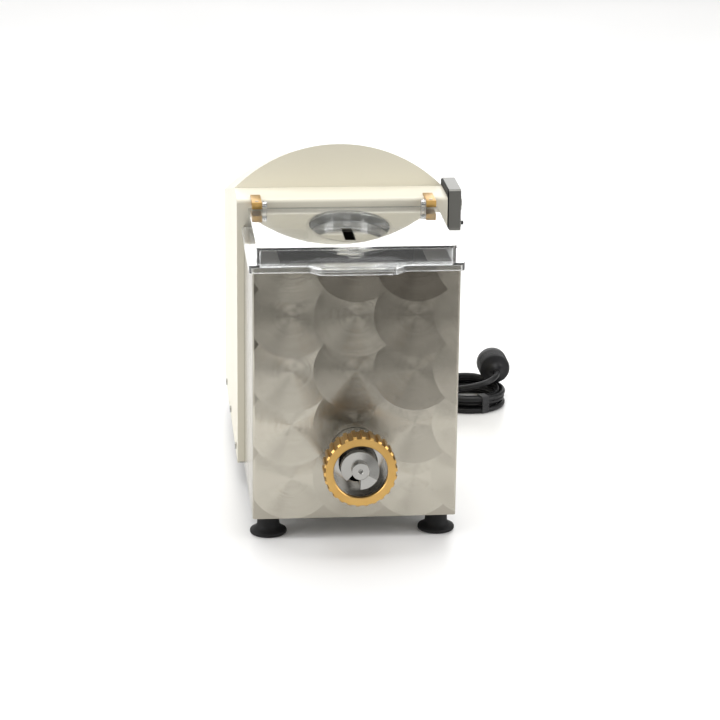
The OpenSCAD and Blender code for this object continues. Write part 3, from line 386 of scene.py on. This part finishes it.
nickel, nickel_shader, spot = finish("plated_nickel", Metallic=1.0)
handling = grain(spot, 260)
feed(nickel_shader, Base_Color=handling.blend("#b9b6ae", "#d8d6cf"), Roughness=0.16 + 0.16 * handling)
pins_low, pins_high = extent("plug_pins")
pin_r = (pins_high.z - pins_low.z) / 2
pin_l = pins_high.y - pins_low.y
pin_profile = [
    (0, 0), (pin_r, 0), (pin_r, pin_l - 2), (pin_r - 0.5, pin_l - 0.8), (pin_r - 1.3, pin_l - 0.1),
    (0, pin_l),
]
pin_shapes = [
    lathe(pin_profile, (x, pins_low.y, plug_axis_z), back, steps=32)
    for x in (pins_low.x + pin_r, pins_high.x - pin_r)
]
plug_pins = add_piece(
    "plug_contact_pins", merge(pin_shapes), nickel, "machine", "bearing_steel", "plug_pins"
)

# ---- Cable gland --------------------------------------------------------------------------------------
# A moulded strain relief that snaps into the rear panel: a collar, then a tapered sleeve with rings cut
# into it so that it bends with the lead.
gland_low, gland_high = extent("cable_gland")
panel_back = extent("rear_panel")[1].y
gland_x = (gland_low.x + gland_high.x) / 2
gland_z = (gland_low.z + gland_high.z) / 2
collar_r = (gland_high.x - gland_low.x) / 2
collar_l = 6
sleeve_r = collar_r - 3
sleeve_end = gland_high.y - panel_back
sleeve_end_r = lead_d / 2 + grip_t
ring_count = 6
first_ring = 8
gland_profile = [(0, gland_low.y - panel_back), (sleeve_r, gland_low.y - panel_back), (sleeve_r, 0)]
gland_profile += [(collar_r - 0.8, 0), (collar_r, 0.8), (collar_r, collar_l - 1.2)]
gland_profile += [(collar_r - 1.2, collar_l), (sleeve_r, collar_l)]
for ring in range(ring_count):
    start = first_ring + ring * (sleeve_end - first_ring - 2) / ring_count
    taper = sleeve_r + (sleeve_end_r - sleeve_r) * (start - collar_l) / (sleeve_end - collar_l)
    gland_profile += [
        (taper, start), (taper - 1.0, start + 0.5), (taper - 1.1, start + 1.9), (taper - 0.2, start + 2.4)
    ]
gland_profile += [(sleeve_end_r, sleeve_end - 0.8), (sleeve_end_r - 0.6, sleeve_end), (0, sleeve_end)]
gland_shape = lathe(gland_profile, (gland_x, panel_back, gland_z), back, steps=48)
gland = add_piece(
    "strain_relief", gland_shape, black_moulding, "machine", "black_plastic", "cable_gland", smooth=40
)

# ---- Floor and lights ---------------------------------------------------------------------------------
# The white table top that the machine stands on, which ends a little way in front of it, and soft boxes
# overhead, behind, on both sides, low on the right and behind the camera.
floor_front = -0.70
floor_back = 7.0
floor_half = 4.0
floor_shape = bmesh.new()
for y, sides in ((floor_front, (-floor_half, floor_half)), (floor_back, (floor_half, -floor_half))):
    for x in sides:
        floor_shape.verts.new((x, y, 0))
floor_shape.faces.new(floor_shape.verts)
floor_mesh = bpy.data.meshes.new("table_top")
floor_shape.to_mesh(floor_mesh)
floor_shape.free()
table_top = bpy.data.objects.new("table_top", floor_mesh)
bpy.context.scene.collection.objects.link(table_top)
laminate, laminate_shader, spot = finish("white_laminate", Base_Color=(0.93, 0.93, 0.93, 1))
feed(laminate_shader, Roughness=0.28 + 0.1 * grain(spot, 3))
floor_mesh.materials.append(laminate)


def softbox(name, position, target, width, height, watts):
    """A flat light that faces target."""
    lamp = bpy.data.lights.new(name, "AREA")
    lamp.shape = "RECTANGLE"
    lamp.size = width
    lamp.size_y = height
    lamp.energy = watts
    holder = bpy.data.objects.new(name, lamp)
    holder.location = position
    holder.rotation_euler = (Vector(target) - Vector(position)).to_track_quat("-Z", "Y").to_euler()
    bpy.context.scene.collection.objects.link(holder)


softbox("overhead_box", (0.0, 0.3, 2.6), (0, 0.1, 0), 3.0, 2.4, 62)
softbox("rear_box", (0.2, 3.4, 1.3), (0, 0, 0.2), 4.2, 1.8, 52)
softbox("left_box", (-2.2, -0.6, 1.3), (0, 0, 0.2), 1.4, 1.8, 36)
softbox("right_box", (2.3, -0.9, 1.2), (0, 0, 0.2), 1.4, 1.8, 30)
softbox("low_fill_box", (0.8, -1.9, 0.0), (0, -0.2, 0.2), 0.5, 0.9, 2)
softbox("front_box", (-0.5, -4.4, 1.1), (0, 0, 0.2), 2.8, 1.2, 16)

room_colour = (0.50, 0.49, 0.47, 1)
room_strength = 0.5
world = bpy.data.worlds.new("studio")
world.use_nodes = True
world.node_tree.nodes["Background"].inputs["Color"].default_value = room_colour
world.node_tree.nodes["Background"].inputs["Strength"].default_value = room_strength
bpy.context.scene.world = world
bpy.context.scene.view_settings.view_transform = "Standard"

# ---- Base plate and feet ------------------------------------------------------------------------------
# A folded stainless plate carries everything. Four black rubber feet with a flared base are fixed to it
# by a stud through the plate.


def dress(material, *nodes):
    """Gives CAD pieces their finish."""
    for node in nodes:
        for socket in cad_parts[node].material_slots:
            socket.material = material


def brushed(name, dark, light, roughness, along, lines_per_metre=900.0):
    """Steel with fine grinding lines along an axis, which is 0, 1 or 2."""
    material, shader, spot = finish(name, Metallic=1.0)
    stretch = Vector((lines_per_metre, lines_per_metre, lines_per_metre))
    stretch[along] = lines_per_metre / 60
    lines = grain(spot, stretch, 4, 0.6)
    mixed = 0.6 * lines + 0.4 * grain(spot, 14, 2)
    feed(
        shader, Base_Color=mixed.blend(dark, light), Roughness=roughness - 0.08 + 0.16 * mixed,
        Normal=relief(lines, 0.00003, 0.0004),
    )
    return material


sheet_steel = brushed("brushed_sheet", "#9d9b95", "#c9c7c1", 0.32, 0)
dress(sheet_steel, "base_plate")

rubber, rubber_shader, spot = finish("foot_rubber", Specular_IOR_Level=0.35)
bloom = grain(spot, 240, 4)
feed(
    rubber_shader, Base_Color=bloom.blend("#070708", "#161617"), Roughness=0.55 + 0.2 * bloom,
    Normal=relief(grain(spot, 1800, 3), 0.0001),
)
feet_low, feet_high = extent("feet")
foot_r = 19.8
shank_r = 12.0
foot_h = casing_low.z / MM
foot_profile = [
    (0, 0), (foot_r - 1.6, 0), (foot_r - 0.5, 0.4), (foot_r, 1.3), (foot_r, 3.0), (foot_r - 0.5, 3.9),
    (foot_r - 2.2, 4.7), (shank_r + 3.6, 6.0), (shank_r + 1.4, 7.6), (shank_r + 0.3, 9.6),
    (shank_r, 12.5), (shank_r, foot_h - 1.4), (shank_r - 0.5, foot_h - 0.4), (shank_r - 1.4, foot_h),
    (0, foot_h),
]
foot_shapes = [
    lathe(foot_profile, (x, y, 0), steps=72)
    for x in (feet_low.x + foot_r, feet_high.x - foot_r)
    for y in (feet_low.y + foot_r, feet_high.y - foot_r)
]
add_piece("rubber_feet", merge(foot_shapes), rubber, "machine", "black_rubber", "feet", smooth=40)

# ---- Hopper casing ------------------------------------------------------------------------------------
# One stainless sheet folded round three sides. Its outside is finished with a pad on a drill that leaves
# overlapping discs of fine rings in rows, each row laid over the one below.
# The discs' tones are painted reflection: one brightness per disc, darker towards the top of the panel
# and lighter towards the bottom, evened out on the sides.
disc_r = 0.0455
disc_hub = 0.0005
disc_columns = (-0.068, 0.0005, 0.0635, 0.127)
# Painted reflection, one value per disc: rows from the bottom up, columns from left to right.
disc_painted_reflections = (
    (0.9, 0.7, 0.9, 0.8), (1.0, 0.6, 0.7, 0.8), (0.95, 0.4, 0.3, 0.5), (0.6, 0.5, 0.2, 0.4),
    (0.6, 0.1, -0.1, 0.3),
)
first_row_z = 0.069
row_pitch = 0.06
ring_scale = 15000.0
ring_lean = 1.8
ripple_scale = 2900
ripple_lean = 0.01
side_painted_reflection = 0.62
side_evenness = 0.65
swirl, swirl_shader, spot = finish("swirled_sheet", Metallic=1.0)
normal = spot.node("NewGeometry", {}, out=1)
on_side = normal.axis(0).maths("ABSOLUTE").maths("GREATER_THAN", 0.7)
across_front = spot.axis(0) - (casing_low.x + casing_high.x) / 2
across_side = spot.axis(1) - casing_low.y
across = across_front * (1 - on_side) + across_side * on_side
offset_u, offset_v, shade = 0.0, 0.0, 0.5
for row, tones in enumerate(disc_painted_reflections):
    for disc_x, disc_painted_reflection in zip(disc_columns, tones):
        u = across - disc_x
        v = spot.axis(2) - (first_row_z + row * row_pitch)
        inside = ((u * u + v * v) ** 0.5).maths("LESS_THAN", disc_r)
        outside = 1 - inside
        offset_u = u * inside + outside * offset_u
        offset_v = v * inside + outside * offset_v
        shade = inside * disc_painted_reflection + outside * shade
distance = (offset_u * offset_u + offset_v * offset_v) ** 0.5 + disc_hub
rings = spot.node(
    "TexNoise", {"W": distance, "Scale": ring_scale, "Detail": 1.0}, noise_dimensions="1D"
)
ripple = (distance * ripple_scale + 5 * grain(spot, 25, 1)).maths("SINE")
lean = ring_lean * (rings - 0.5) + ripple_lean * ripple
tilt_u = lean * offset_u / distance
tilt_v = lean * offset_v / distance
tilt = spot.node("CombineXYZ", {0: tilt_u * (1 - on_side), 1: tilt_u * on_side, 2: tilt_v})
bent = spot.node("VectorMath", {0: normal, 1: tilt}, operation="ADD")
smears = grain(spot, Vector((34, 34, 9)), 3)
clouds = grain(spot, 11, 3)
# The painted reflection is evened out on the sides, then mixed with polishing smears into the colour.
shade = side_painted_reflection + (shade - side_painted_reflection) * (1 - side_evenness * on_side)
painted_reflection_and_smears = 0.75 * shade + 0.5 * smears - 0.12
feed(
    swirl_shader, Base_Color=painted_reflection_and_smears.blend("#6a655c", "#c9c4b7"), Roughness=0.14 + 0.08 * clouds,
    Normal=spot.node("VectorMath", {0: bent}, operation="NORMALIZE"),
)
dress(swirl, "hopper_casing")

# ---- Mixer --------------------------------------------------------------------------------------------
# The welded stainless tub, dulled by use and coloured dark as painted shade inside the covered hopper,
# and its shaft with four paddles, turned and milled from stainless bar, in a plastic front bush and a
# rubber seal behind.
# Painted shade: the tub's steel is given a dark colour for the shade inside the covered hopper.
shaded_tub_steel = brushed("used_and_shaded_tub_sheet", "#383632", "#5c5954", 0.34, 2)
dress(shaded_tub_steel, "mixing_tub")
machined = brushed("machined_stainless", "#8f8e8b", "#c4c3bf", 0.26, 1, 1400.0)
dress(machined, "mixer_shaft", "mixer_paddles")
ivory, ivory_shader, spot = finish("ivory_plastic", Roughness=0.45)
feed(
    ivory_shader, Base_Color=grain(spot, 500).blend("#d9d2bd", "#e8e2d0"),
    Normal=relief(grain(spot, 1500, 2), 0.00005, 0.0004),
)
dress(ivory, "mixer_bush")
dress(rubber, "shaft_seals")

# ---- Extruder barrel ----------------------------------------------------------------------------------
# A stainless tube turned with a threaded head in front, a seat for the die, and a rear flange. Four
# zinc-plated bolts hold it to the gear case through the housing's front.
turned = brushed("turned_stainless", "#84827e", "#d0cec9", 0.18, 0, 1100.0)
dress(turned, "extruder_barrel")
zinc = brushed("plated_zinc", "#a6a6a4", "#d2d1cd", 0.25, 2, 1500.0)
dress(zinc, "barrel_bolts")

# ---- Auger --------------------------------------------------------------------------------------------
# The feed screw, milled from stainless bar. Its flight starts flush with the ground front face, where the
# lathe has left a centre hole, and its first turn is cut finer than the rest.
auger_low, auger_high = extent("auger")
auger_z = (auger_high.z + auger_low.z) / 2
auger_front = Vector((0, auger_low.y, auger_z))
flight_r = (auger_high.z - auger_low.z) / 2
core_r = 9.0
centre_hole_r = 2.2
socket_w = 9.3
socket_l = 32.0
core_profile = [(0, 5), (centre_hole_r, 4.5), (centre_hole_r, 0.5), (centre_hole_r + 0.5, 0)]
core_profile += [(core_r, 0), (core_r, auger_high.y - auger_low.y)]
auger_shape = lathe(core_profile, auger_front, back)
core_rim = [edge for edge in auger_shape.edges if edge.is_boundary]
facing_back = Matrix.Rotation(math.pi / 2, 4, "X")
socket_place = Matrix.Translation((0, auger_high.y, auger_z)) @ facing_back
socket = bmesh.ops.create_circle(
    auger_shape, segments=4, radius=socket_w / math.sqrt(2),
    matrix=socket_place @ Matrix.Rotation(math.pi / 4, 4, "Z"),
)
socket_edges = list({edge for corner in socket["verts"] for edge in corner.link_edges})
bmesh.ops.bridge_loops(auger_shape, edges=core_rim + socket_edges)
socket_walls = bmesh.ops.extrude_edge_only(auger_shape, edges=socket_edges)
socket_floor = [part for part in socket_walls["geom"] if isinstance(part, bmesh.types.BMVert)]
bmesh.ops.translate(auger_shape, verts=socket_floor, vec=(0, -socket_l, 0))
bmesh.ops.holes_fill(auger_shape, edges=[edge for edge in auger_shape.edges if edge.is_boundary])
bmesh.ops.recalc_face_normals(auger_shape, faces=auger_shape.faces)

flight_t = 7.5
ground_off = 3.0
front_lead = 18.0
flight_lead = 36.0
front_gap = 42
flight_turn = 1530
turn_step = 5
flight_root = core_r - 0.2
flight_section = [
    (flight_root, -ground_off), (flight_r, -ground_off),
    (flight_r, flight_t - ground_off), (flight_root, flight_t - ground_off),
]
flight_shape = bmesh.new()
for start, sweep, lead_here in ((0, 360 - front_gap, front_lead), (360, flight_turn, flight_lead)):
    spoke = Matrix.Rotation(math.radians(-start), 3, -back)
    depth = front_lead * start / 360
    corners = [
        flight_shape.verts.new(auger_front + spoke @ Vector((0, 0, -radius)) + back * (along + depth))
        for radius, along in flight_section
    ]
    section = flight_shape.faces.new(corners)
    bmesh.ops.spin(
        flight_shape, geom=corners + list(section.edges) + [section], cent=auger_front, axis=-back,
        dvec=back * lead_here * turn_step / 360, angle=math.radians(sweep), steps=sweep // turn_step,
        use_merge=False,
    )
sliced = bmesh.ops.bisect_plane(
    flight_shape, geom=flight_shape.verts[:] + flight_shape.edges[:] + flight_shape.faces[:],
    plane_co=auger_front, plane_no=-back, clear_outer=True,
)
sliced_edges = [part for part in sliced["geom_cut"] if isinstance(part, bmesh.types.BMEdge)]
bmesh.ops.holes_fill(flight_shape, edges=sliced_edges)
bmesh.ops.recalc_face_normals(flight_shape, faces=flight_shape.faces)
add_piece(
    "feed_screw", merge([auger_shape, flight_shape]), machined, "auger", "stainless_machined", "auger"
)

# ---- Ring nut and washer ------------------------------------------------------------------------------
# A turned brass ring with notches for a hook spanner, which screws over the barrel's head and holds the
# die, and the stainless washer that lies inside it.
gilded, gilded_shader, spot = finish("turned_brass", Metallic=1.0)
tarnish = grain(spot, 45, 4)
feed(
    gilded_shader, Base_Color=tarnish.blend("#b68c4c", "#dbb570"), Roughness=0.26 + 0.14 * tarnish,
    Normal=relief(grain(spot, Vector((300, 2400, 300)), 3), 0.00003),
)
nut_low, nut_high = extent("ring_nut")
nut_r = (nut_high.z - nut_low.z) / 2
nut_z = (nut_high.z + nut_low.z) / 2
notches = 26
notch_depth = 2.0
notch_steps = 12
open_steps = 6
lip_r = 28.5
lip_l = 6.0
thread_r = 34.0


def nut_loop(shape, radius, along, depth):
    """One ring of corners round the nut's axis, pulled in by depth where the notches are."""
    where = Matrix.Translation((0, along, nut_z)) @ facing_back
    made = bmesh.ops.create_circle(shape, segments=notches * notch_steps, radius=radius, matrix=where)
    for number, corner in enumerate(made["verts"]):
        if number % notch_steps < open_steps:
            outward = Vector((corner.co.x, 0, corner.co.z - nut_z)).normalized()
            corner.co -= outward * depth
    return list({edge for corner in made["verts"] for edge in corner.link_edges})


nut_shape = bmesh.new()
nut_stations = [
    (nut_r - 1.9, nut_low.y, 0), (nut_r - 0.3, nut_low.y + 1.6, notch_depth - 0.3),
    (nut_r, nut_low.y + 2.2, notch_depth), (nut_r, nut_high.y - 0.8, notch_depth),
    (nut_r - 0.9, nut_high.y, notch_depth - 0.7), (thread_r + 0.6, nut_high.y, 0),
    (thread_r, nut_high.y - 0.6, 0), (thread_r, nut_low.y + lip_l, 0), (lip_r, nut_low.y + lip_l, 0),
    (lip_r, nut_low.y + 0.7, 0), (lip_r + 0.7, nut_low.y, 0),
]
nut_loops = [nut_loop(nut_shape, *station) for station in nut_stations]
for loop, following in zip(nut_loops, nut_loops[1:] + nut_loops[:1]):
    bmesh.ops.bridge_loops(nut_shape, edges=loop + following)
bmesh.ops.recalc_face_normals(nut_shape, faces=nut_shape.faces)
add_piece("brass_ring_nut", nut_shape, gilded, "ring_nut", "brass", "ring_nut", smooth=14)
dress(machined, "die_washer")

# ---- Gears and motor ----------------------------------------------------------------------------------
# Hobbed steel gears in a bolted case of cast aluminium behind the hopper, and the motor with its fan,
# cowl, bracket and run capacitor under the hood.
hobbed = brushed("hobbed_steel", "#5f6265", "#9a9c9e", 0.35, 1)
dress(
    hobbed, "auger_gear", "mixer_gear", "reduction_gear", "reduction_pinion", "motor_pinion",
    "auger_shaft", "reduction_shaft", "motor_shaft", "motor_bracket", "capacitor_clip",
)
bright = brushed("bearing_steel", "#a3a5a6", "#d4d5d6", 0.14, 1, 1500.0)
dress(bright, "gearbox_bearings", "thrust_bearing")
cast, cast_shader, spot = finish("cast_alloy", Metallic=0.9)
pores = grain(spot, 800, 4, 0.7)
feed(
    cast_shader, Base_Color=pores.blend("#85878a", "#abadb0"), Roughness=0.45 + 0.2 * pores,
    Normal=relief(pores, 0.0002, 0.0006),
)
dress(cast, "gearbox_case", "gearbox_cover", "motor_body", "motor_end_bell")
dress(zinc, "gearbox_bolts")
grey, grey_shader, spot = finish("grey_moulding")
speck = grain(spot, 600)
feed(
    grey_shader, Base_Color=speck.blend("#5b5d60", "#74777a"), Roughness=0.42 + 0.15 * speck,
    Normal=relief(speck, 0.00008, 0.0005),
)
dress(grey, "motor_fan", "fan_cowl")
dress(ivory, "run_capacitor")

# ---- Housing ------------------------------------------------------------------------------------------
# Two folded steel shells and a rear panel, all enamelled cream: the front with its ledge and arched face,
# and the cover with the hood. Plated screws hold the cover to the base plate and the panel to the cover.
enamel, enamel_shader, spot = finish("cream_enamel", Specular_IOR_Level=0.3)
peel = grain(spot, 420, 2)
drift = grain(spot, 5, 2)
feed(
    enamel_shader, Base_Color=drift.blend("#dfdac9", "#e7e3d4"), Roughness=0.34 + 0.1 * peel,
    Normal=relief(peel, 0.00005, 0.0012),
)
dress(enamel, "housing_front", "housing_cover", "rear_panel")
dress(zinc, "casing_screws")

# ---- Hinge blocks -------------------------------------------------------------------------------------
# Two blocks milled from brass bar, with a foot that is screwed to the ledge from below. A slotted screw
# in each block's top locks the steel pin that the lid's ears turn on.
dress(zinc, "hinge_screws", "hinge_pins", "hinge_set_screws")
hinge_low, hinge_high = extent("hinge_blocks")
hinge_w = 11.0
hinge_foot_t = 2.0
hinge_gap = 0.3
hinge_corner = 0.5
hinge_back = extent("housing_front")[0].y - hinge_gap
foot_z = hinge_high.z - hinge_foot_t
hinge_outline = [
    (hinge_low.y, hinge_low.z), (hinge_back, hinge_low.z), (hinge_back, foot_z),
    (hinge_high.y, foot_z), (hinge_high.y, hinge_high.z), (hinge_low.y, hinge_high.z),
]
hinge_shapes = []
for hinge_x in (hinge_low.x, hinge_high.x - hinge_w):
    hinge_shape = bmesh.new()
    side_face = hinge_shape.faces.new([hinge_shape.verts.new((hinge_x, y, z)) for y, z in hinge_outline])
    slab = bmesh.ops.extrude_face_region(hinge_shape, geom=[side_face])
    far_side = [part for part in slab["geom"] if isinstance(part, bmesh.types.BMVert)]
    bmesh.ops.translate(hinge_shape, verts=far_side, vec=(hinge_w, 0, 0))
    bmesh.ops.recalc_face_normals(hinge_shape, faces=hinge_shape.faces)
    round_edges(hinge_shape, hinge_shape.edges[:], hinge_corner, 3)
    hinge_shapes.append(hinge_shape)
add_piece("brass_hinge_blocks", merge(hinge_shapes), gilded, "machine", "brass", "hinge_blocks")

# ---- Lid ----------------------------------------------------------------------------------------------
# One moulding of clear plastic: a raised tray with an oval pouring dish and its slot, a skirt that laps
# the casing, a finger grip, and two ears for the hinge pins. Its level faces shine most.
clear, clear_shader, spot = finish(
    "clear_lid", Base_Color=(0.97, 0.98, 0.98, 1), Transmission_Weight=0.95, IOR=1.49,
    Coat_IOR=2.4, Coat_Roughness=0.02,
)
level = spot.node("NewGeometry", {}, out=1).axis(2).maths("ABSOLUTE")
feed(
    clear_shader, Coat_Weight=0.12 + 0.88 * level, Roughness=0.02 + 0.06 * grain(spot, 300, 4),
    Normal=relief(grain(spot, 90, 2), 0.00004, 0.002),
)
dress(clear, "lid")

# ---- Controls -----------------------------------------------------------------------------------------
# A grey sheet-metal box on the housing's right side, on a rubber gasket, with a white, a green and a red
# push-button in bright bezels, and the black stem of the overload reset below.
slate = brushed("grey_box_sheet", "#6a6a67", "#85847f", 0.38, 1, 700.0)
dress(slate, "control_box")
dress(rubber, "control_gasket")
dress(zinc, "button_bezels")


def cap_plastic(name, dark, light):
    """Glossy moulded plastic for a button."""
    material, shader, spot = finish(name, Coat_Weight=0.3, Coat_Roughness=0.1)
    cloud = grain(spot, 400)
    feed(
        shader, Base_Color=cloud.blend(dark, light), Roughness=0.28 + 0.12 * cloud,
        Normal=relief(grain(spot, 1200, 2), 0.00004, 0.0008),
    )
    return material


dress(cap_plastic("white_cap", "#dcdcd8", "#ececea"), "mix_button")
dress(cap_plastic("green_cap", "#1e8a43", "#2aa255"), "extrude_button")
dress(cap_plastic("red_cap", "#b3201c", "#cc2f28"), "stop_button")
dress(black_moulding, "reset_button", "contact_blocks", "lid_switch")
